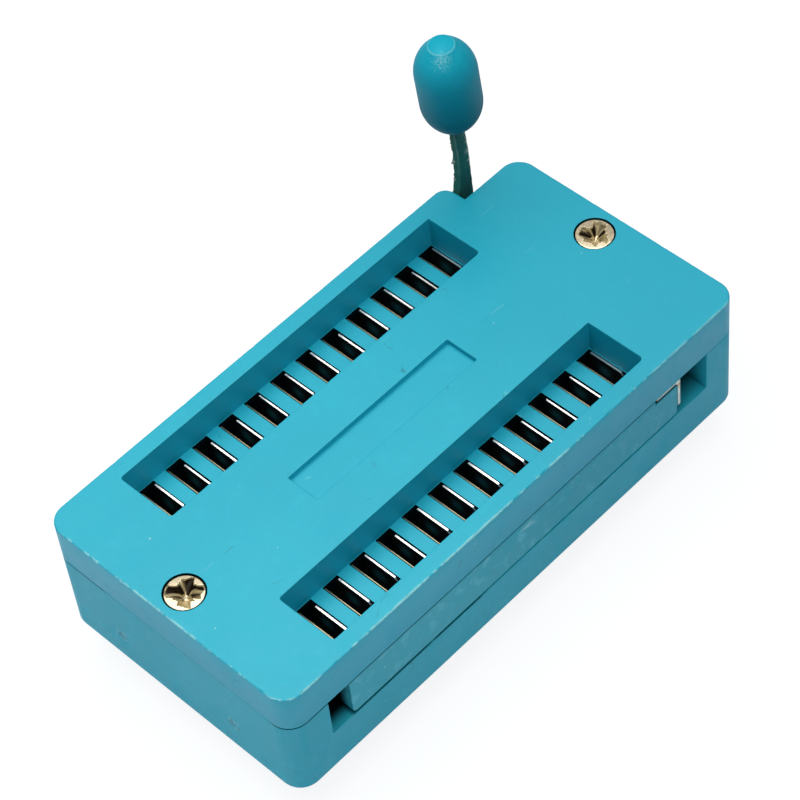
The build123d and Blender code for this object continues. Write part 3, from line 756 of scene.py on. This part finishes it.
def makeCover(s):
    stepX, stepY = s.stepWidth - s.side, s.far - s.stepLength
    corners = [(s.side, s.near), (s.side, s.far), (stepX, s.far), (stepX, stepY),
               (-s.side, stepY), (-s.side, s.near)]
    radii = [s.corner, s.corner, s.stepEnd, s.stepInner, s.stepOuter, s.corner]
    outline, outward = cornerPath(corners, radii, step=0.16, arcSteps=12)
    rim = roundedRim(s.rim, s.top, steps=5)
    profile = np.concatenate([
        [[-1.6 * s.lip, s.parting], [-0.5 * s.lip, s.parting + 0.3 * s.lip],
         [0.0, s.parting + s.lip], [0.0, s.top - s.rim - s.support]],
        rim, [[-s.rim - s.support, s.top]],
    ])
    # chips: seeded noise along the rim, deeper on the near and right-hand sides
    run = pathLength(outline)
    exposed = 0.35 + 0.65 * np.clip(outward[:, 0] - outward[:, 1], 0, 1)
    knocks = np.clip(smoothNoise(run, 11, 6, 0.35) - 0.3, 0, None) ** 1.5
    chip = s.chip * knocks * exposed + 0.004 * np.abs(smoothNoise(run, 5, 3, 2.2))
    share = np.concatenate([[0, 0, 0, 0], np.sin(np.linspace(0.25, pi - 0.25, len(rim))), [0]])
    shift = (-chip * share[:, None])[..., None] * (1.0, 0.7)
    wear = np.concatenate([[0, 0, 0, 0], np.ones(len(rim)), [0]])[:, None] * (0.25 + 0.75 * exposed)
    parts = [sweptWall(outline, outward, profile, wear, shift)]
    topLoops = [outline + outward * profile[-1, 0]]
    bottomLoops = [outline + outward * profile[0, 0]]
    length = s.troughFar - s.troughNear
    for side in (-1, 1):
        middle = (side * s.troughX, (s.troughNear + s.troughFar) / 2)
        trough, away = boxPath(middle, s.troughWidth, length, s.troughCorners, 0.5)
        wall = holeProfile(s.top, s.troughRim, s.troughFloor)
        wall = np.concatenate([wall[:-1], [[0.0, s.top - 0.4]], wall[-1:]])
        cutHole(parts, topLoops, trough, away, wall)
        floorLoops = [trough]
        for x, y in slotPlaces:
            if x * side > 0:
                slot, slotOut = boxPath((x, y), s.slotLength, s.slotWidth, 0.06, 1.0, 3)
                slotOut = slotOut * (0.3, 1.0)
                drop = holeProfile(s.troughFloor, s.slotRim, s.parting, 0.03)
                cutHole(parts, floorLoops, slot, slotOut, drop)
                bottomLoops.append(slot)
        parts.append(flatFace(s.troughFloor, floorLoops))
    panel, panelOut = boxPath((0, s.panelY), s.panelWidth, s.panelLength, 0.08, 0.6, 4)
    cutHole(parts, topLoops, panel, panelOut, holeProfile(s.top, s.panelRim, s.top - s.panelDepth))
    parts.append(flatFace(s.top - s.panelDepth, [panel]))
    for y in screwPlaces:
        seat, seatOut = circlePath((0, y), s.seatRadius, 64)
        inward = s.shankHole - s.seatRadius
        wall = np.concatenate([holeProfile(s.top, s.seatRim, s.seatFloor),
                               [[inward, s.seatFloor], [inward, s.parting]]])
        cutHole(parts, topLoops, seat, seatOut, wall)
        bottomLoops.append(seat + seatOut * inward)
    parts.append(flatFace(s.top, topLoops))
    parts.append(flatFace(s.parting, bottomLoops, up=False))
    # caps over the camshaft: a block with the shaft's arc cut from its underside
    low = np.arccos(s.capReach / s.shaftHole)
    angle = np.linspace(low, pi - low, 17)
    arc = s.shaftHole * np.stack([np.cos(angle), np.sin(angle)], axis=1)
    lift = s.parting - s.shaftZ + 0.02
    section = np.concatenate([arc[::-1], [[-s.capReach, lift], [s.capReach, lift]]])[::-1]
    for side in (-1, 1):
        across = Matrix(((0, 0, 1, side * s.capX - s.capWidth / 2), (1, 0, 0, s.shaftY),
                         (0, 1, 0, s.shaftZ), (0, 0, 0, 1)))
        parts += [turned(p, across) for p in prismParts(section, 0.0, s.capWidth)]
    finishPiece("socketCover", "top_cover", parts, "root", coverPlastic)


makeCover(SimpleNamespace(**coverShape))
print("stage: cover made")

# Base, slider, plate, shaft and contacts: the solids with their edges rounded. The contacts whose sprung
# leaf stands a little further in and lower, by push, are named by their place in the row.
softEdges = {
    "base": 0.06, "slider": 0.06, "plate": 0.05, "shaft": 0.06, "contact": 0.015, "skinReach": 0.25,
    "pushedIn": {"left": (2, 3, 4, 8, 11), "right": (1, 4, 9, 10, 11)}, "push": (0.3, 0.0, -0.1),
    "play": (0.04, 0.02, 0.02), "leafFoot": 6.0, "leafStart": 7.2,
}


# True where both ends lie on the outside of the body's box.
def onSkin(edge):
    reach = softEdges["skinReach"]
    ends = np.array([v.co / mm for v in edge.verts])
    side = np.abs(ends[:, 0]).min() > coverShape["side"] - reach
    near = ends[:, 1].max() < coverShape["near"] + reach
    far = ends[:, 1].min() > coverShape["far"] - reach
    return bool(side or near or far)


# One contact's sprung leaf moved by its push and a little seeded play, fading out towards its foot.
def leafShift(row, number):
    draw = np.random.default_rng(number + (20 if row == "left" else 0)).uniform(-1, 1, 3)
    draw[2] = -abs(draw[2])
    pushed = number in softEdges["pushedIn"][row]
    move = pushed * np.array(softEdges["push"]) + softEdges["play"] * draw
    middle = (number - 1 - (coverShape["slots"] - 1) / 2) * coverShape["pitch"]

    def shift(points):
        onLeaf = smoothStep(points[:, 2], softEdges["leafFoot"], softEdges["leafStart"])
        return (onLeaf * (points[:, 1] > middle))[:, None] * move
    return shift


softenedCopy("socketBase", "base_housing", softEdges["base"], "root", basePlastic,
             chooser=onSkin)
softenedCopy("slidingComb", "cam_slider", softEdges["slider"], "slider", sliderPlastic,
             chooser=onSkin)
softenedCopy("wearPlate", "wear_plate", softEdges["plate"], "slider", plateSteel)
softenedCopy("camShaft", "cam_shaft", softEdges["shaft"], "lever", shaftSteel)
for row in ("left", "right"):
    for k in range(coverShape["slots"]):
        place = f"{row}_{k + 1:02d}"
        softenedCopy(f"fork_{place}", f"contact_{place}", softEdges["contact"], "root",
                     contactTin, steps=1, shift=leafShift(row, k + 1))
print("stage: base, slider and contacts made")

# Cover screws: a worn cross recess in a low head.
screwShape = {
    "radius": 1.43, "top": 11.2, "height": 1.0, "crown": 0.05, "edge": 0.1, "armReach": 1.2,
    "armHalf": 0.42, "flare": 0.1, "melt": 0.62, "wallSlope": 2.0, "depthMiddle": 0.98, "depthTip": 0.16,
    "depthLimit": 0.9, "glint": 0.24, "ragged": 0.2, "darkSide": (-0.66, 0.75), "shank": 0.85,
    "shankEnd": 3.85, "tip": 0.5, "rings": 80, "spokes": 200,
}


# Polar grid: height = crown - recess; the recess is a cross whose signed distance, times the wall's
# slope, is cut off at a floor that deepens towards a small bright flat in the middle. Soot streaks run
# down its walls, with painted shade that makes them heavier towards darkSide.
def makeScrew(name, node, y, turn, seed, s):
    angle = np.linspace(0, 2 * pi, s.spokes, endpoint=False)
    flatEnd = s.radius - s.edge
    ring = np.linspace(0, flatEnd, s.rings)
    u, v = ring[:, None] * np.cos(angle - turn), ring[:, None] * np.sin(angle - turn)
    ragged = s.ragged * smoothNoise(angle / (2 * pi), seed, 4, 3.0)

    def arm(along, across):
        half = s.armHalf + s.flare * (np.abs(along) / s.armReach) ** 2
        return np.maximum(np.abs(along) - s.armReach, np.abs(across) - half)

    a, b = arm(u, v), arm(v, u)
    meld = np.clip(0.5 + 0.5 * (b - a) / s.melt, 0, 1)
    fromCross = b + (a - b) * meld - s.melt * meld * (1 - meld)
    fromCross = fromCross + ragged * smoothStep(ring, 0.3, 0.9)[:, None]
    floor = s.depthMiddle + (s.depthTip - s.depthMiddle) * ring[:, None] / s.armReach
    depth = np.clip(np.minimum(-fromCross * s.wallSlope, np.minimum(floor, s.depthLimit)), 0, None)
    height = s.top + s.crown * (0.4 - (ring[:, None] / s.radius) ** 2) - depth
    rim = roundedRim(s.edge, height[-1].mean(), steps=5)[::-1][1:]
    under, point = s.top - s.height, s.shank - s.radius
    tail = np.array([[0.0, under], [point, under], [point, s.shankEnd + s.tip],
                     [point - s.tip, s.shankEnd], [1e-4 - s.radius, s.shankEnd]])
    edge = np.concatenate([rim, tail])
    radius = np.concatenate([ring, s.radius + edge[:, 0]])
    height = np.concatenate([height, np.repeat(edge[:, 1:2], s.spokes, axis=1)])
    across = radius[:, None]
    points = np.stack([across * np.cos(angle), across * np.sin(angle) + y, height], axis=-1)
    verts, quads = ringSheet(points)
    wear = np.concatenate([np.clip((ring / flatEnd - 0.7) / 0.3, 0, 1), np.ones(len(edge))])
    part = (verts, quads[:, ::-1], np.repeat(wear, s.spokes), False)
    streaks = np.clip(0.85 + 0.8 * smoothNoise(angle / (2 * pi) + 0.12 * u, seed + 1, 3, 7.0), 0, 1)
    # painted shade: soot heavier on the walls towards darkSide
    shadeward = ring[:, None] * (np.cos(angle) * s.darkSide[0] + np.sin(angle) * s.darkSide[1])
    streaks = streaks * smoothStep(shadeward, -0.7, 0.3)
    bare = s.glint * (1 + 0.5 * smoothNoise(angle / (2 * pi), seed + 2, 3, 3.0))
    soot = smoothStep(depth, 0.02, 0.14) * (0.15 + 0.85 * streaks)
    soot = soot * smoothStep(ring[:, None] - bare, 0.0, 0.09)
    soot = np.concatenate([np.clip(soot, 0, 1), np.zeros((len(edge), s.spokes))]).ravel()
    finishPiece(name, node, [part], "root", screwNickel, 32, soot)


farScrewShape = dict(screwShape, armReach=1.04, armHalf=0.36, melt=0.66, ragged=0.22, glint=0.28)
makeScrew("coverScrewNear", "screw_near", screwPlaces[0], radians(38), 3, SimpleNamespace(**screwShape))
makeScrew("coverScrewFar", "screw_far", screwPlaces[1], radians(20), 8, SimpleNamespace(**farScrewShape))
print("stage: screws made")

# Lever: a sheared strip, straight up to its neck and leaning back above it, in a rounded knob.
leverShape = {
    "x": -10.43, "pivotY": 18.85, "pivotZ": 6.01, "thickness": 0.7, "hub": 1.45, "rivet": 0.62,
    "footNear": 0.95, "footFar": 0.62, "shoulder": 4.8, "waist": 6.2, "waistNear": 0.64, "neck": 8.65,
    "neckWidth": 1.0, "neckShift": -0.08, "insert": 3.2, "edge": 0.07, "burr": 0.15, "step": 0.06,
    "lean": radians(4.6), "knobRise": 2.9, "knobRadius": 2.27, "knobLength": 8.72, "endHeight": 2.9,
    "shoulderRadius": 3.2, "gateRadius": 1.0, "gateRise": 0.05, "gateDome": 0.24, "gateLip": 0.045,
    "coneStart": 1.45, "seamHeight": 1.3, "seamDepth": 0.03, "spokes": 120,
}


# Own x along +Y and own z along +X: upright at the shaft's axis, or leaning back at the strip's neck.
def leverFrame(s, atNeck):
    lean = s.lean if atNeck else 0.0
    y = s.pivotY + (s.neckShift if atNeck else 0.0)
    z = s.pivotZ + (s.neck if atNeck else 0.0)
    c, t = cos(lean), sin(lean)
    return Matrix(((0, 0, 1, s.x), (c, -t, 0, y), (t, c, 0, z), (0, 0, 0, 1)))


# Eye and strip as one outline, carried through the thickness with burred corners.
def makeStrip(s):
    half, lean, reach = s.neckWidth / 2, s.lean, s.knobRise + s.insert
    neck = np.array([s.neckShift, s.neck])
    ends = [neck + (side * half * cos(lean) - reach * sin(lean), side * half * sin(lean) + reach * cos(lean))
            for side in (1, -1)]
    farMeet, nearMeet = np.arccos(s.footFar / s.hub), pi - np.arccos(s.footNear / s.hub)
    eye = np.linspace(nearMeet, 2 * pi + farMeet, 80)
    corners = [neck + (half, 0), ends[0], ends[1], neck - (half, 0), (-s.waistNear, s.waist),
               (-s.footNear, s.shoulder)]
    outline, outward = evenPath(
        np.concatenate([s.hub * np.stack([np.cos(eye), np.sin(eye)], axis=1), corners]), s.step)
    t, e = s.thickness / 2, s.edge
    profile = np.array([[-2.2 * e, -t], [-e, -t], [-0.3 * e, -t + 0.25 * e], [0, -t + e], [0, 0], [0, t - e],
                        [-0.3 * e, t - 0.25 * e], [-e, t], [-2.2 * e, t]])
    run = pathLength(outline)
    # burrs: outward flakes on the corner away from the cover, small ones elsewhere
    flakes = np.clip(smoothNoise(run, 23, 6, 0.55) - 0.15, 0, 0.9)
    flakes = flakes * (outline[:, 1] > 4.5) * (outward[:, 0] < -0.5)
    shift = np.zeros((len(profile), len(outline), 2))
    shift[2, :, 0] = 2.4 * s.burr * flakes + 0.25 * s.burr * smoothNoise(run, 22, 5, 1.1)
    shift[6, :, 0] = 0.15 * s.burr * smoothNoise(run, 29, 5, 1.1)
    shift[3:6, :, 0] = 0.012 * smoothNoise(run, 31, 3, 0.5)[None]
    upper = smoothStep(outline[:, 1], 5.0, 7.5)
    wear = np.array([0.5, 1, 0.6, 0.0, 0.0, 0.5, 1, 1, 0])[:, None] * (0.35 + 0.65 * upper)[None]
    wear[5:] *= outward[:, 0] > 0
    wear[8] = 0.5 * wear[7]
    wear[2:4] = np.maximum(wear[2:4], smoothStep(flakes, 0.0, 0.25) * (0.5 + 0.5 * upper))
    hole, holeOut = circlePath((0, 0), s.rivet, 32)
    parts = [
        sweptWall(outline, outward, profile, wear, shift),
        sweptWall(hole, holeOut, np.array([[0.0, t], [0.0, -t]])),
        flatFace(t, [outline + outward * profile[-1, 0], hole]),
        flatFace(-t, [outline + outward * profile[0, 0], hole], up=False),
    ]
    parts = [turned(p, leverFrame(s, False)) for p in parts]
    finishPiece("leverStrip", "lever_arm", parts, "lever", leverSteel, 50)


# Knob turned about its own axis: each end is a shoulder arc and a tangent cap arc, the cap's centre
# lying on the axis; above the shoulder a cone runs up to the gate mark's rim, and the mark is domed by
# height = rise - dome * (radius / rim radius) squared.
def makeKnob(s):
    inset = s.shoulderRadius - s.knobRadius
    cap = s.shoulderRadius ** 2 - inset ** 2 - s.endHeight ** 2
    cap = cap / (2 * (s.shoulderRadius - s.endHeight))
    lift = s.endHeight - cap
    turn = np.arctan2(lift, inset)
    a, b = np.linspace(0, turn, 40), np.linspace(turn, pi / 2, 40)[1:]
    end = np.concatenate([
        np.stack([s.shoulderRadius * np.cos(a) - inset, s.shoulderRadius * np.sin(a)], axis=1),
        np.stack([cap * np.cos(b), lift + cap * np.sin(b)], axis=1)])
    rim = s.endHeight + s.gateRise
    across = np.linspace(s.gateRadius - s.gateLip, 0, 10)
    mark = np.stack([across, rim - s.gateDome * (across / s.gateRadius) ** 2], axis=1)
    lipFoot = mark[0] + (s.gateLip, -s.gateLip)
    crown = end[end[:, 0] > s.coneStart]
    cone = np.linspace(crown[-1], lipFoot, 8)[1:]
    top = np.concatenate([crown, cone, mark])
    low, high = s.endHeight, s.knobLength - s.endHeight
    straight = np.stack([np.full(14, s.knobRadius), np.linspace(low, high, 16)[1:-1]], axis=1)
    profile = np.concatenate([(end * (1, -1))[::-1] + (0, low), straight, top + (0, high)])
    profile[[0, -1], 0] = 1e-5
    radius, height = profile.T
    seam = np.exp(-((height - s.seamHeight) / 0.06) ** 2)
    radius = radius - s.seamDepth * seam
    wear = np.exp(-((radius - s.gateRadius + s.gateLip) / 0.035) ** 2) * (height > high) + 0.55 * seam
    angle = np.linspace(0, 2 * pi, s.spokes, endpoint=False)
    across, up = radius[:, None], np.repeat(height[:, None] + s.knobRise, s.spokes, axis=1)
    verts, quads = ringSheet(np.stack([across * np.cos(angle), up, -across * np.sin(angle)], axis=-1))
    part = turned((verts, quads, np.repeat(wear, s.spokes), False), leverFrame(s, True))
    finishPiece("leverKnob", "lever_knob", [part], "lever", knobPlastic, 60)


makeStrip(SimpleNamespace(**leverShape))
makeKnob(SimpleNamespace(**leverShape))
print("stage: lever made")

# Floor, lamp, world and camera.
setting = {
    "floor": -3.2, "floorSize": 3.0, "floorColour": (0.84, 0.91, 0.98, 1), "shadowLift": 0.8,
    "paperGlow": 1.1, "ambient": 0.16, "ambientColour": (0.7, 0.92, 1.15, 1), "horizon": 0.12,
    "keyPlace": (-0.012, -0.02, 0.2), "keyAim": (0, 0, 0.01), "keySize": 0.25, "keyPower": 0.51,
    "cameraPlace": (0.09487, -0.08074, 0.16673), "cameraAim": (-0.00219, 0.00302, 0.008),
    "cameraRoll": radians(-7.244), "lens": 131.55, "sensor": 36.0,
}


# White paper; the camera sees it part way to plain white, so that the shadow stays light.
def makeFloor(s):
    h, z = s.floorSize / 2, s.floor * mm
    mesh = bpy.data.meshes.new("floor")
    mesh.from_pydata([(-h, -h, z), (h, -h, z), (h, h, z), (-h, h, z)], [], [(0, 1, 2, 3)])
    material, shader, place = newMaterial("paperFloor")
    feed(shader, {"Base Color": s.floorColour, "Roughness": 0.9, "Specular IOR Level": 0.0})
    toCamera = addNode(place.tree, "ShaderNodeLightPath", out="Is Camera Ray")
    glow = addNode(place.tree, "ShaderNodeEmission", {"Color": (1, 1, 1, 1), "Strength": s.paperGlow})
    paper = Signal(shader.outputs[0])
    seen = addNode(place.tree, "ShaderNodeMixShader", {0: toCamera * s.shadowLift, 1: paper, 2: glow})
    feed(material.node_tree.nodes["Material Output"], {"Surface": seen})
    mesh.materials.append(material)
    addObject("floor", mesh)


def makeLamp(s):
    data = bpy.data.lights.new("keyLamp", "AREA")
    data.shape = "SQUARE"
    data.size = s.keySize
    data.energy = s.keyPower
    lamp = addObject("keyLamp", data)
    lamp.location = s.keyPlace
    lamp.rotation_euler = (Vector(s.keyAim) - Vector(s.keyPlace)).to_track_quat("-Z", "Y").to_euler()


# White to the camera, a low plain level to everything that is lit, and to reflections a sky that rises
# from dark to white, dimmer towards the far end and dark on the camera's side.
def makeWorld(s):
    world = bpy.data.worlds.new("studio")
    bpy.context.scene.world = world
    world.use_nodes = True
    toCamera = addNode(world.node_tree, "ShaderNodeLightPath", out="Is Camera Ray")
    glossy = toCamera.other("Is Glossy Ray")
    direction = addNode(world.node_tree, "ShaderNodeTexCoord", out="Object")
    y, z = split(direction)[1:]
    away = addNode(world.node_tree, "ShaderNodeVectorMath", {0: direction, 1: (-0.66, 0.75, 0.0)}, "Value",
                   operation="DOT_PRODUCT")
    side = (ramp(y, 0.62, 0.22) * 0.4 + 0.6) * ramp(away, -0.25, 0.25)
    sky = ramp(z, 0.05, 0.7) * side * (1.0 - s.horizon) + s.horizon
    seen = larger(toCamera, toCamera.other("Is Transmission Ray"))
    tint = mix(larger(seen, glossy), s.ambientColour, (1, 1, 1, 1))
    strength = larger(larger(seen, glossy * sky), s.ambient)
    feed(world.node_tree.nodes["Background"], {"Strength": strength, "Color": tint})


# Looks along place -> aim, then rolled about that line.
def makeCamera(s):
    data = bpy.data.cameras.new("camera")
    data.lens = s.lens
    data.sensor_width = s.sensor
    data.clip_start = 0.01
    camera = addObject("camera", data)
    back = (Vector(s.cameraPlace) - Vector(s.cameraAim)).normalized()
    right = Vector((0, 0, 1)).cross(back).normalized()
    look = Matrix((right, back.cross(right), back)).transposed()
    look = look @ Matrix.Rotation(s.cameraRoll, 3, "Z")
    camera.matrix_world = Matrix.Translation(s.cameraPlace) @ look.to_4x4()
    bpy.context.scene.camera = camera


for makeSetting in (makeFloor, makeLamp, makeWorld, makeCamera):
    makeSetting(SimpleNamespace(**setting))
bpy.context.scene.view_settings.view_transform = "Standard"
print("stage: studio made")
